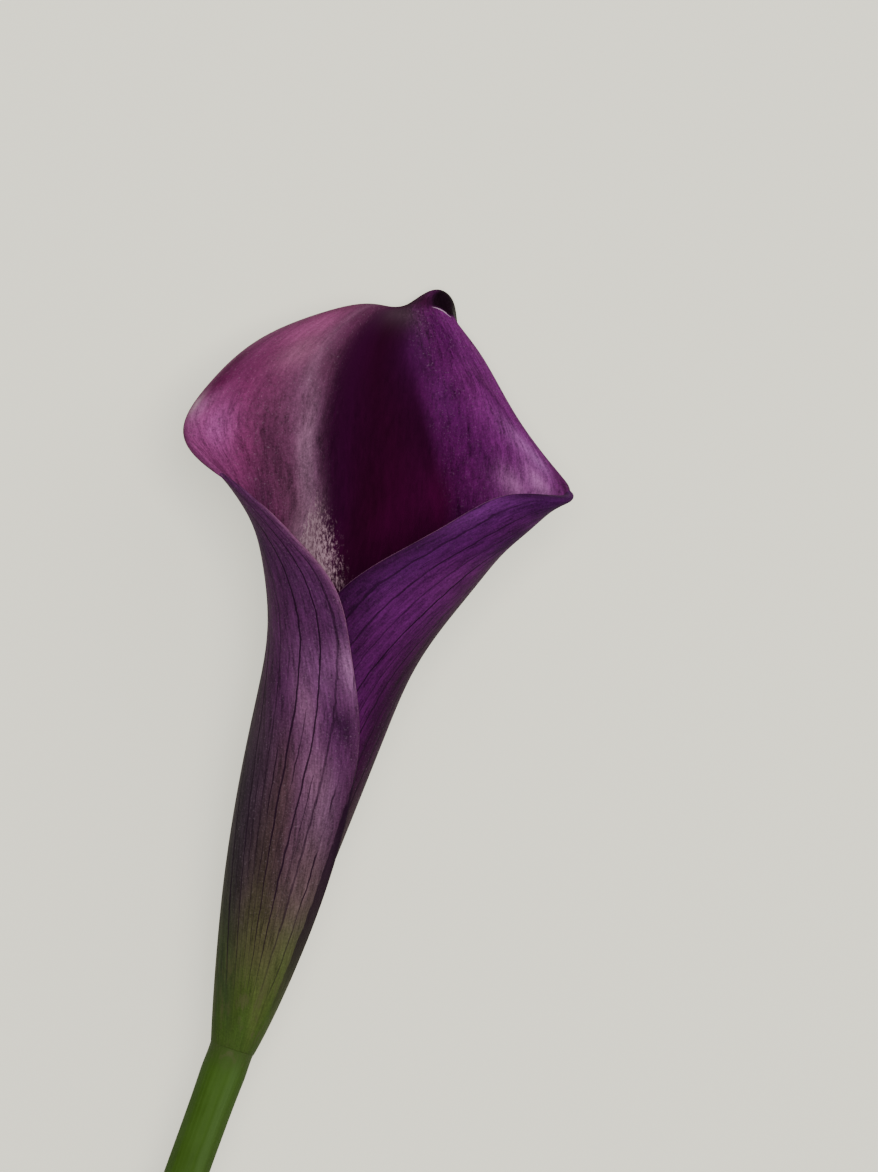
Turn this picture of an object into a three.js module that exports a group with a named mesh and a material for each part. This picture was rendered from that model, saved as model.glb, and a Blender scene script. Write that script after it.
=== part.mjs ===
// A single calla lily flower on its cut stem, lying on a flat surface with its open face up.
// Millimetres. +Y runs along the stem from the cut end to the tip of the flower, +Z is up, and the
// lowest points of the flower are at z = 0. Points are given as [x, y, d], where d is the height
// above the flower's axis, which climbs from the cut end of the stem towards the flower.

import * as THREE from 'three';

// Stem: a round green stalk, a little thicker at the cut end and just under the spathe, bowed to the left
const STEM_LENGTH = 190;
const STEM_END_RADIUS = 4.1;
const STEM_TOP_RADIUS = 3.4;
const STEM_FLARE = 0.5;
const STEM_FLARE_REACH = 6;
const STEM_TOP_X = 0.15;
const STEM_BOW = 4.5;
const STEM_RISE = 0.0997;
const STEM_PRESSED = 0.3;
const STEM_RINGS = 26;
const STEM_RING_CROWDING = 1.6;
const STEM_SIDES = 16;

// Neck: the slim end of the stem inside the foot of the spathe, which carries the spadix
const NECK_RADIUS = 1.45;
const NECK_TOP_RADIUS = 2.2;
const NECK_TOP_Y = 7;

// Spathe: one thin sheet, rolled into a tube with its left margin outside and opening into a wide limb
const SPATHE_THICKNESS = 0.75;
const SPATHE_COLUMNS = 13;
const SPATHE_CELLS_ACROSS = 36;
const SPATHE_CELLS_PER_ROW = 3;

// Spadix: the finger of tiny florets that stands in the tube
const SPADIX_LENGTH = 46;
const SPADIX_RADIUS = 3.3;
const SPADIX_FOOT_RADIUS = 2.3;
const SPADIX_SIDES = 24;
const SPADIX_RINGS = 56;
const SPADIX_DRIFT = -2.4;
const FLORET_HEIGHT = 0.32;

// Clearance where two pieces of the flower meet
const SEAT_GAP = 0.3;

// Height of the flower's axis over the surface at a place along the stem
function axisHeight(y) {
  return STEM_END_RADIUS - STEM_PRESSED + (y + STEM_LENGTH) * STEM_RISE;
}

// Puts a point of the flower at its height over the surface, never below a given clearance
function lift([x, y, d], clearance = 0) {
  return new THREE.Vector3(x, y, Math.max(axisHeight(y) + d, clearance));
}

// A rolled row of the spathe. Angle 0 faces up and grows to the left; the row starts with the left
// margin outside and winds inwards by gap a turn. The inner points stand out a little, because the
// sheet is drawn inside them. backDrop slides the underside along the tube.
function rolledRow({ y, x, radiusX, radiusZ, from, to, gap, backDrop = 0, marginLift = 0 }) {
  const step = THREE.MathUtils.degToRad(to - from) / (SPATHE_COLUMNS - 1);
  const standOut = 3 / (2 + Math.cos(step));
  return Array.from({ length: SPATHE_COLUMNS }, (_, column) => {
    const angle = THREE.MathUtils.degToRad(from) + step * column;
    const atMargin = column === 0 || column === SPATHE_COLUMNS - 1;
    const swell = atMargin ? 1 : standOut;
    const inward = (gap * step * column) / (2 * Math.PI);
    const raised = column === 0 ? marginLift : 0;
    return [
      x - ((radiusX - inward) * swell + raised) * Math.sin(angle),
      y + (backDrop * (1 - Math.cos(angle))) / 2,
      ((radiusZ - inward) * swell + raised) * Math.cos(angle),
    ];
  });
}

// A narrow straight row of the tail, from its left edge to its right edge
function tailRow(left, right) {
  const a = new THREE.Vector3(...left);
  const b = new THREE.Vector3(...right);
  return Array.from({ length: SPATHE_COLUMNS }, (_, column) =>
    a.clone().lerp(b, column / (SPATHE_COLUMNS - 1)).toArray());
}

// The guide rows of the spathe, from its foot to its tail. Each limb row goes from the left margin
// over the left shoulder (columns 3 and 4), the floor of the throat (6) and the right wall to the
// right margin (12).
const SPATHE_ROWS = [
  rolledRow({ y: 0, x: 0, radiusX: 3.75, radiusZ: 3.75, from: -95, to: 350, gap: 0.85 }),
  rolledRow({ y: 9, x: -0.45, radiusX: 5.8, radiusZ: 5.7, from: -96, to: 410, gap: 1.1 }),
  rolledRow({ y: 24, x: -1.3, radiusX: 8.3, radiusZ: 8.1, from: -82, to: 444, gap: 1.2 }),
  rolledRow({ y: 40, x: -1.85, radiusX: 10.15, radiusZ: 10, from: -60, to: 436, gap: 1.35 }),
  rolledRow({
    y: 54, x: -1.95, radiusX: 11.4, radiusZ: 11.2, from: -38, to: 418, gap: 1.5, backDrop: 1, marginLift: 0.3,
  }),
  rolledRow({
    y: 65, x: -2.05, radiusX: 12.5, radiusZ: 12.2, from: -7, to: 396, gap: 1.9, backDrop: 3, marginLift: 0.3,
  }),
  // where the two margins cross and the tube opens
  [
    [-5, 75.2, 13.8], [-12.7, 75.3, 11], [-18.7, 76, 4.5], [-19.7, 77.5, -4], [-14.8, 78.5, -9],
    [-9.5, 79.2, -14.5], [0, 80, -16], [8.1, 80, -13], [13.1, 79.5, -6], [14.6, 79, 2], [11.1, 78, 9.3],
    [2.5, 76.5, 12.8], [-6.3, 75, 11.2],
  ],
  [
    [-13.6, 79.8, 11], [-20.1, 80.8, 7], [-24.8, 82.9, 0.5], [-21.8, 85.5, -4.5], [-13.5, 86.5, -4],
    [-9.5, 88, -14.5], [-1, 89.3, -18.5], [7.5, 89, -15], [14.2, 88, -8], [17.6, 86.6, 0],
    [15.4, 85.6, 7.5], [9, 84.5, 12], [1.8, 83.6, 13.5],
  ],
  [
    [-21.1, 84.2, 8], [-27.9, 85.8, 4.5], [-32.2, 88.8, -1], [-26, 92.5, -3.5], [-16.5, 94, -1.5],
    [-12.5, 95.5, -14], [-3.5, 96.8, -21], [5.5, 96, -18], [13, 95, -10.5], [19, 93.2, -3],
    [21, 91.4, 3.5], [15.2, 91.2, 8.8], [8.2, 90.1, 11.5],
  ],
  [
    [-28.1, 86.1, 4], [-33.9, 88.1, 2.5], [-36, 92.2, 0], [-28, 98.5, -2.5], [-17.5, 100.5, -0.5],
    [-14, 102, -14], [-5, 103.5, -22.5], [4, 102.8, -20], [11.5, 101.5, -13], [18.4, 98.5, -6.5],
    [23.9, 96, -0.5], [21.6, 97.3, 5], [14.2, 97.6, 8],
  ],
  // the widest row, out to the left lobe and the right corner
  [
    [-34.8, 88.2, -1.5], [-39.4, 90.2, 0.5], [-35.7, 97, -1.5], [-28, 104.5, -5], [-18.5, 106.6, -3.5],
    [-14.8, 108.3, -15.5], [-6, 109.5, -24.5], [2.5, 108.3, -22], [10, 106.3, -15.5], [16.1, 103.8, -9.5],
    [23, 100.6, -4], [29.6, 99.6, -0.5], [21.5, 98.9, 4],
  ],
  [
    [-33.5, 94.2, -9], [-36.9, 98.2, -4.5], [-32.7, 103.6, -5.5], [-25.9, 109, -9], [-18.3, 111.5, -9],
    [-14.5, 113.3, -18.5], [-7, 114.5, -26.5], [0.8, 113.5, -24], [7.8, 111.2, -18.5], [13.4, 108.2, -13],
    [18.2, 104.9, -8], [23.7, 101.8, -4.5], [27.2, 99.5, -3.5],
  ],
  // the rolled back upper edge
  [
    [-27.5, 103.6, -23], [-32.6, 108.3, -14.5], [-27.6, 111.5, -12.5], [-21.2, 114.8, -15],
    [-15.9, 117, -16.5], [-13.1, 118.1, -22], [-7.5, 119, -27], [-2, 118.3, -26],
    [3.5, 115.7, -21.5], [8.1, 112.8, -17.3], [11.8, 110, -14.8], [14.6, 107.8, -14.3], [15, 106.1, -16.5],
  ],
  [
    [-19.5, 110.6, -34.6], [-21.8, 114.9, -26], [-19.3, 118.1, -20], [-16.2, 120.4, -21], [-13.6, 120.6, -23],
    [-11.5, 120.2, -26], [-8.7, 120.8, -28], [-5.2, 121.8, -27.5], [-1.7, 120.5, -25], [1.9, 118.9, -22.5],
    [5.2, 117.9, -20.8], [6, 114.9, -20.8], [6, 113.6, -23],
  ],
  [
    [-12, 114, -35.4], [-12.5, 117.3, -31.5], [-11.6, 118.8, -28.5], [-10.8, 119.2, -27.5],
    [-9.8, 119.4, -28], [-8.9, 120.4, -29], [-7.8, 122.2, -29.8], [-6.2, 123.9, -30], [-4.2, 123.3, -29],
    [-2.8, 122, -27.3], [-1.6, 121.2, -25.6], [-0.5, 120.2, -26], [-0.2, 119.2, -27.7],
  ],
  // the hook of the tip
  [
    [-7, 115.6, -35], [-7.3, 118.9, -34.4], [-7.3, 121.2, -33.4], [-7.2, 122.1, -32.8], [-6.9, 123.2, -32.2],
    [-6.6, 124.7, -31], [-5.9, 125.6, -30], [-4.9, 126, -29], [-3.5, 125.7, -28], [-2.4, 124.7, -27.5],
    [-2, 123.2, -28], [-1.5, 121.9, -29.2], [-1.2, 120.9, -30.6],
  ],
  [
    [-3.8, 117.6, -34.6], [-3.2, 119.4, -34.6], [-2.7, 120.9, -34.4], [-2.3, 122, -34], [-1.9, 122.7, -33.4],
    [-1.8, 123.4, -32.8], [-1.8, 123.7, -32.2], [-1.7, 123.7, -31.8], [-1.5, 123.2, -31.6],
    [-1.2, 122.4, -31.8], [-0.9, 121.6, -32], [-0.6, 120.9, -32.2], [-0.4, 120.3, -32.5],
  ],
  // the narrow tail that curls down behind the tip and lies flat on the surface
  tailRow([-2.2, 115.4, -34.6], [1, 119, -32.9]),
  tailRow([0.6, 113.4, -34.6], [3.2, 116.2, -34.2]),
  tailRow([3.2, 111.8, -34.6], [4.9, 113.4, -34.4]),
  tailRow([5.7, 110.2, -34.4], [6.3, 110.8, -34.4]),
];

// The four weights of a uniform cubic B-spline at a place t between two guide points
function splineWeights(t) {
  return [
    (1 - t) ** 3 / 6,
    (3 * t ** 3 - 6 * t ** 2 + 4) / 6,
    (-3 * t ** 3 + 3 * t ** 2 + 3 * t + 1) / 6,
    t ** 3 / 6,
  ];
}

// A guide point before the first or past the last lies straight on from the last two
function guideAt(points, index) {
  const last = points.length - 1;
  if (index < 0) return points[0].clone().multiplyScalar(2).sub(points[1]);
  if (index > last) return points[last].clone().multiplyScalar(2).sub(points[last - 1]);
  return points[index];
}

// A point of the curve along a list of guide points, which it reaches at both ends
function splinePoint(points, place) {
  const span = Math.min(Math.floor(place), points.length - 2);
  const sum = new THREE.Vector3();
  splineWeights(place - span).forEach((weight, offset) => {
    sum.addScaledVector(guideAt(points, span - 1 + offset), weight);
  });
  return sum;
}

// The middle surface of the spathe as rows of points, from the foot to the tail
function spatheMiddle() {
  const rows = SPATHE_ROWS.map((row) => row.map((point) => new THREE.Vector3(...point)));
  const cellsAlong = (rows.length - 1) * SPATHE_CELLS_PER_ROW;
  const clearance = SPATHE_THICKNESS / 2;
  const columns = Array.from({ length: SPATHE_CELLS_ACROSS + 1 }, (_, i) => {
    const place = (i * (SPATHE_COLUMNS - 1)) / SPATHE_CELLS_ACROSS;
    return rows.map((row) => splinePoint(row, place));
  });
  return Array.from({ length: cellsAlong + 1 }, (_, j) =>
    columns.map((column) => lift(splinePoint(column, j / SPATHE_CELLS_PER_ROW).toArray(), clearance)));
}

// The direction that faces out of the open side at a point of a surface given as rows of points
function facing(rows, j, i) {
  const row = rows[j];
  const across = row[Math.min(i + 1, row.length - 1)].clone().sub(row[Math.max(i - 1, 0)]);
  const along = rows[Math.min(j + 1, rows.length - 1)][i].clone().sub(rows[Math.max(j - 1, 0)][i]);
  return across.cross(along).normalize();
}

// A mesh geometry from points and triangles
function geometryOf(points, triangles) {
  const geometry = new THREE.BufferGeometry();
  geometry.setAttribute('position', new THREE.Float32BufferAttribute(points.flatMap((p) => p.toArray()), 3));
  geometry.setIndex(triangles.flat());
  geometry.computeVertexNormals();
  return geometry;
}

// A closed sheet of even thickness round a middle surface. Both faces are cut along the same diagonals.
function sheetGeometry(rows, thickness) {
  const width = rows[0].length;
  const count = rows.length * width;
  const middle = rows.flat();
  const half = thickness / 2;
  const offsets = rows.flatMap((row, j) => row.map((_, i) => facing(rows, j, i).multiplyScalar(half)));
  const front = middle.map((point, k) => point.clone().add(offsets[k]));
  const back = middle.map((point, k) => point.clone().sub(offsets[k]));
  const triangles = [];
  for (let j = 0; j < rows.length - 1; j += 1) {
    for (let i = 0; i < width - 1; i += 1) {
      const a = j * width + i;
      const [b, c, d] = [a + 1, a + width + 1, a + width];
      const [e, f, g, h] = [a + count, b + count, c + count, d + count];
      triangles.push([a, b, c], [a, c, d], [e, g, f], [e, h, g]);
    }
  }
  const rim = [];
  for (let i = 0; i < width; i += 1) rim.push(i);
  for (let j = 1; j < rows.length; j += 1) rim.push(j * width + width - 1);
  for (let i = width - 2; i >= 0; i -= 1) rim.push((rows.length - 1) * width + i);
  for (let j = rows.length - 2; j > 0; j -= 1) rim.push(j * width);
  rim.forEach((a, k) => {
    const b = rim[(k + 1) % rim.length];
    triangles.push([a, a + count, b + count], [a, b + count, b]);
  });
  return geometryOf([...front, ...back], triangles);
}

// A closed solid through rings of points, with a flat end at the first and at the last ring
function ringGeometry(rings) {
  const sides = rings[0].length;
  const points = rings.flat();
  const triangles = [];
  for (let j = 0; j < rings.length - 1; j += 1) {
    for (let i = 0; i < sides; i += 1) {
      const next = (i + 1) % sides;
      const [a, b] = [j * sides + i, j * sides + next];
      const [c, d] = [b + sides, a + sides];
      triangles.push([a, c, d], [a, b, c]);
    }
  }
  const middleOf = (ring) => ring.reduce((sum, p) => sum.add(p), new THREE.Vector3()).divideScalar(sides);
  const first = points.push(middleOf(rings[0])) - 1;
  const last = points.push(middleOf(rings.at(-1))) - 1;
  const top = (rings.length - 1) * sides;
  for (let i = 0; i < sides; i += 1) {
    const next = (i + 1) % sides;
    triangles.push([first, next, i], [last, top + i, top + next]);
  }
  return geometryOf(points, triangles);
}

// A ring of points round the flower's axis at one place along it
function ring({ x, y, sides, radiusAt }) {
  return Array.from({ length: sides }, (_, i) => {
    const angle = (2 * Math.PI * (i + 0.5)) / sides;
    const radius = radiusAt(i);
    return lift([x + radius * Math.sin(angle), y, radius * Math.cos(angle)]);
  });
}

// The stem with its cut end, its shoulder under the spathe and its neck inside it
function stemGeometry() {
  const rings = [];
  const shoulder = -SEAT_GAP;
  for (let k = 0; k <= STEM_RINGS; k += 1) {
    const y = shoulder - (STEM_LENGTH + shoulder) * (1 - k / STEM_RINGS) ** STEM_RING_CROWDING;
    const share = y / STEM_LENGTH;
    const slope = (STEM_TOP_RADIUS - STEM_END_RADIUS) * share;
    const radius = STEM_TOP_RADIUS + slope + STEM_FLARE * Math.exp(y / STEM_FLARE_REACH);
    const x = STEM_TOP_X - STEM_BOW * (1 - (1 + share) ** 2);
    rings.push(ring({ x, y, sides: STEM_SIDES, radiusAt: () => radius }));
  }
  const x = STEM_TOP_X;
  rings.push(ring({ x, y: shoulder, sides: STEM_SIDES, radiusAt: () => NECK_RADIUS }));
  rings.push(ring({ x, y: NECK_TOP_Y / 2, sides: STEM_SIDES, radiusAt: () => NECK_RADIUS }));
  rings.push(ring({ x, y: NECK_TOP_Y, sides: STEM_SIDES, radiusAt: () => NECK_TOP_RADIUS }));
  return ringGeometry(rings);
}

// The spadix: every other point of its rings stands out as a floret
function spadixGeometry() {
  const foot = NECK_TOP_Y + SEAT_GAP;
  const rings = [];
  for (let k = 0; k <= SPADIX_RINGS; k += 1) {
    const along = k / SPADIX_RINGS;
    const y = foot + SPADIX_LENGTH * Math.sin((along * Math.PI) / 2) ** 1.15;
    const reach = (y - foot) / SPADIX_LENGTH;
    const swell = SPADIX_FOOT_RADIUS + (SPADIX_RADIUS - SPADIX_FOOT_RADIUS) * Math.min(1, reach * 3);
    const body = Math.max(0.35, swell * Math.sqrt(Math.max(0, 1 - reach ** 6)));
    const florets = k > 0 && k < SPADIX_RINGS ? FLORET_HEIGHT : 0;
    const x = SPADIX_DRIFT * reach;
    rings.push(ring({ x, y, sides: SPADIX_SIDES, radiusAt: (i) => body + florets * ((i + k) % 2) }));
  }
  return ringGeometry(rings);
}

function subPart(name, geometry, material) {
  const mesh = new THREE.Mesh(geometry, new THREE.MeshStandardMaterial(material));
  mesh.name = name;
  return mesh;
}

const flower = new THREE.Group();
flower.add(subPart('stem', stemGeometry(), { color: 0x4a6b26, roughness: 0.55, metalness: 0 }));
flower.add(subPart('spathe', sheetGeometry(spatheMiddle(), SPATHE_THICKNESS), {
  color: 0x4a1a4f, roughness: 0.5, metalness: 0,
}));
flower.add(subPart('spadix', spadixGeometry(), { color: 0x7a3d5a, roughness: 0.8, metalness: 0 }));

// The origin is under the middle of the whole flower
const reach = new THREE.Box3().setFromObject(flower);
const middle = reach.getCenter(new THREE.Vector3());
flower.children.forEach((mesh) => mesh.position.set(-middle.x, -middle.y, -reach.min.z));

export default flower;
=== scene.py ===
"""A cut calla lily flower lying on a pale surface with its open face up, dressed for a soft studio picture.

Lengths in the classes are millimetres in the flower's own directions: x to the right, y along the stem from
the foot of the flower to its tip, and d the height above the flower's axis, which climbs from the cut end of
the stem. The class Axis puts them in the part's frame, in metres.
"""

import logging
import math
from collections.abc import Callable
from dataclasses import dataclass
from enum import Enum

import bpy
import numpy as np
from mathutils import Matrix, Vector


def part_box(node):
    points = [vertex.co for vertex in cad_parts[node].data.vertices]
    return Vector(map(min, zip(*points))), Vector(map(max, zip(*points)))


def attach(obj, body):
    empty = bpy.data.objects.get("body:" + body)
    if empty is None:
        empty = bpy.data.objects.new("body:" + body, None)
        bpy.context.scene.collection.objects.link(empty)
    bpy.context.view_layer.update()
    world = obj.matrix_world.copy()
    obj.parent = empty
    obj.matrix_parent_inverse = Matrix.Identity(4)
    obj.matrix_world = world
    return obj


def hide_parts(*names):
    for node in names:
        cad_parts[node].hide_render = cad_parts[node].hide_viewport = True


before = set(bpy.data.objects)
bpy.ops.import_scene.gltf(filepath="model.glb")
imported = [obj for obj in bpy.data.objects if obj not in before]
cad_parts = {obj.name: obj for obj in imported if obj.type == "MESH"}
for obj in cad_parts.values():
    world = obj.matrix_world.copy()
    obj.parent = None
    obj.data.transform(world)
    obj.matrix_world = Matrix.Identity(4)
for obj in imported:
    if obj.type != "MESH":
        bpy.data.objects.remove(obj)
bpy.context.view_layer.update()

LOG = logging.getLogger("calla")
METRES = 0.001

Array = np.ndarray
Piece = bpy.types.Object
Socket = bpy.types.NodeSocket
Point = tuple[float, float, float]
Row = tuple[float, ...]
Colour = tuple[float, float, float]
Band = tuple[float, Colour]
Span = tuple[float, float, float, float]
Line = tuple[tuple[float, float], ...]


class Slot(Enum):
    """The parts of the flower, each named as its node in the model."""

    STEM = "stem"
    SPATHE = "spathe"
    SPADIX = "spadix"


@dataclass(frozen=True)
class Axis:
    """The line that the flower is built round, from the cut end of the stem up to the tip."""

    stem_length: float = 190.0
    stem_end_radius: float = 4.1
    stem_top_radius: float = 3.4
    stem_top: float = -0.3
    stem_top_x: float = 0.15
    flare: float = 0.5
    flare_reach: float = 6.0
    bow: float = 4.5
    pressed: float = 0.3
    rise: float = 0.0997
    stem_sides: int = 16

    def stalk(self, y: Array) -> tuple[Array, Array]:
        """The stem's middle x and its radius at places along it.

        Args:
            y: places in millimetres, 0 at the foot of the flower.

        Returns:
            The middle's x and the radius at each place, in millimetres.
        """
        below = np.minimum(y, 0)
        share = below / self.stem_length
        slope = (self.stem_top_radius - self.stem_end_radius) * share
        radius = self.stem_top_radius + slope + self.flare * np.exp(below / self.flare_reach)
        return self.stem_top_x - self.bow * (1 - (1 + share) ** 2), radius

    def origin(self) -> Array:
        """The foot of the flower in the part's frame, in millimetres, from the stem's own box.

        Returns:
            The point's x, y and z.
        """
        low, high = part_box("stem")
        x, radius = self.stalk(np.array(self.stem_top))
        right = float(x + radius * math.cos(math.pi / self.stem_sides))
        return np.array([high.x / METRES - right, low.y / METRES + self.stem_length, 0])

    def height(self, y: Array) -> Array:
        """The axis's height over the surface, in millimetres, at places along the stem."""
        return self.stem_end_radius - self.pressed + (y + self.stem_length) * self.rise

    def place(self, points: Array, clearance: float = 0.0) -> Array:
        """Puts points of the flower in the part's frame.

        Args:
            points: rows of x, y and d in millimetres.
            clearance: the least height over the surface, in millimetres.

        Returns:
            Rows of x, y and z in metres.
        """
        placed = points + self.origin()
        placed[:, 2] = np.maximum(points[:, 2] + self.height(points[:, 1]), clearance)
        return placed * METRES


def smooth(value: Array, low: float, high: float) -> Array:
    """A soft step from 0 at low to 1 at high."""
    t = np.clip((value - low) / (high - low), 0, 1)
    return t * t * (3 - 2 * t)


def within(value: Array, span: Span) -> Array:
    """A soft window: it opens over the first two values of its span and closes over the last two."""
    return smooth(value, *span[:2]) * (1 - smooth(value, *span[2:]))


def deselect() -> None:
    """Leaves nothing selected, in object mode."""
    if bpy.context.object and bpy.context.object.mode != "OBJECT":
        bpy.ops.object.mode_set(mode="OBJECT")
    bpy.ops.object.select_all(action="DESELECT")


def take_new(name: str) -> Piece:
    """Names the primitive that was just added, and its mesh.

    Args:
        name: the name for both.

    Returns:
        The piece.
    """
    piece = bpy.context.object
    piece.name = name
    piece.data.name = name
    return piece


def read_points(piece: Piece) -> Array:
    """The piece's vertices as rows of coordinates.

    Args:
        piece: the piece.

    Returns:
        A row of x, y and z for each vertex, in metres.
    """
    flat = np.empty(len(piece.data.vertices) * 3)
    piece.data.vertices.foreach_get("co", flat)
    return flat.reshape(-1, 3)


def write_points(piece: Piece, points: Array) -> None:
    """Moves the piece's vertices."""
    piece.data.vertices.foreach_set("co", points.ravel())
    piece.data.update()


def add_numbers(piece: Piece, **named: Array) -> None:
    """Stores numbers for each vertex under the names that the material reads.

    Args:
        piece: the piece.
        named: a number for each vertex, under each name.
    """
    for name, values in named.items():
        made = piece.data.attributes.new(name, "FLOAT", "POINT")
        made.data.foreach_set("value", values.astype(np.float32))


def add_colours(piece: Piece, name: str, colours: Array) -> None:
    """Stores one colour for each vertex under a name that the material reads.

    Args:
        piece: the piece.
        name: the name.
        colours: a row of red, green and blue for each vertex.
    """
    made = piece.data.color_attributes.new(name, "FLOAT_COLOR", "POINT")
    full = np.concatenate([colours, np.ones((len(colours), 1))], axis=1)
    made.data.foreach_set("color", full.astype(np.float32).ravel())


def read_numbers(piece: Piece, *names: str) -> list[Array]:
    """The numbers stored under each name, one for each vertex.

    Args:
        piece: the piece.
        names: the names.

    Returns:
        For each name, its number at each vertex.
    """
    found = np.empty((len(names), len(piece.data.vertices)), dtype=np.float32)
    for name, values in zip(names, found):
        piece.data.attributes[name].data.foreach_get("value", values)
    return list(found.astype(float))


def apply(piece: Piece, kind: str, **settings: object) -> None:
    """Adds a modifier with its settings and applies it at once.

    Args:
        piece: the piece.
        kind: the modifier's type.
        settings: what is set on the modifier.
    """
    modifier = piece.modifiers.new(kind.title(), kind)
    for key, value in settings.items():
        setattr(modifier, key, value)
    bpy.context.view_layer.objects.active = piece
    bpy.ops.object.modifier_apply(modifier=modifier.name)


def turned(name: str, segments: int, rings: int) -> tuple[Piece, Array, Array]:
    """Adds a ball whose rings are to be drawn out along the flower's axis.

    Args:
        name: the piece's name.
        segments: faces round the piece.
        rings: faces from pole to pole.

    Returns:
        The piece, each vertex's angle round the axis, and its share of the way from pole to pole.
    """
    deselect()
    bpy.ops.mesh.primitive_uv_sphere_add(segments=segments, ring_count=rings, radius=1)
    piece = take_new(name)
    points = read_points(piece)
    angle = np.arctan2(points[:, 0], points[:, 1])
    share = 1 - np.arccos(np.clip(points[:, 2], -1, 1)) / math.pi
    return piece, angle, share


def recalculate(piece: Piece) -> None:
    """Turns all the piece's faces outwards.

    Args:
        piece: a closed piece.
    """
    deselect()
    piece.select_set(True)
    bpy.context.view_layer.objects.active = piece
    bpy.ops.object.mode_set(mode="EDIT")
    bpy.ops.mesh.select_all(action="SELECT")
    bpy.ops.mesh.normals_make_consistent(inside=False)
    bpy.ops.object.mode_set(mode="OBJECT")


def dress(piece: Piece, material: bpy.types.Material, slot: Slot) -> None:
    """Gives a piece its smooth skin and its finish, hangs it on the root body, and hides the model's node
    that it replaces.

    Args:
        piece: the piece.
        material: its finish.
        slot: the node that it replaces.
    """
    piece.data.materials.clear()
    piece.data.materials.append(material)
    piece.data.shade_smooth()
    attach(piece, "root")
    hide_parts(slot.value)


def arithmetic(operation: str) -> Callable[..., "Term"]:
    """The method of Term that adds the Math node for an operation."""
    return lambda self, *others: self.nodes.sum(operation, self, *others)


class Term:
    """A number that varies over a surface: a socket that takes part in arithmetic."""

    __add__ = __radd__ = arithmetic("ADD")
    __sub__ = arithmetic("SUBTRACT")
    __mul__ = __rmul__ = arithmetic("MULTIPLY")
    __truediv__ = arithmetic("DIVIDE")
    __abs__ = arithmetic("ABSOLUTE")
    floor = arithmetic("FLOOR")
    fraction = arithmetic("FRACT")

    def __init__(self, nodes: "Nodes", socket: Socket) -> None:
        """Wraps a socket of the given nodes."""
        self.nodes = nodes
        self.socket = socket

    def __rsub__(self, other: object) -> "Term":
        """The other minus this."""
        return self.nodes.sum("SUBTRACT", other, self)

    def smooth(self, low: float, high: float) -> "Term":
        """A soft step from 0 at low to 1 at high.

        Args:
            low: where it starts to rise.
            high: where it is full.

        Returns:
            The step.
        """
        inputs = {"Value": self, "From Min": low, "From Max": high}
        made = self.nodes.add("ShaderNodeMapRange", inputs, interpolation_type="SMOOTHSTEP")
        return Term(self.nodes, made.outputs["Result"])

    def within(self, span: Span) -> "Term":
        """A soft window: it opens over the first two values of its span and closes over the last two."""
        return self.smooth(*span[:2]) * (1 - self.smooth(*span[2:]))


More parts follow.
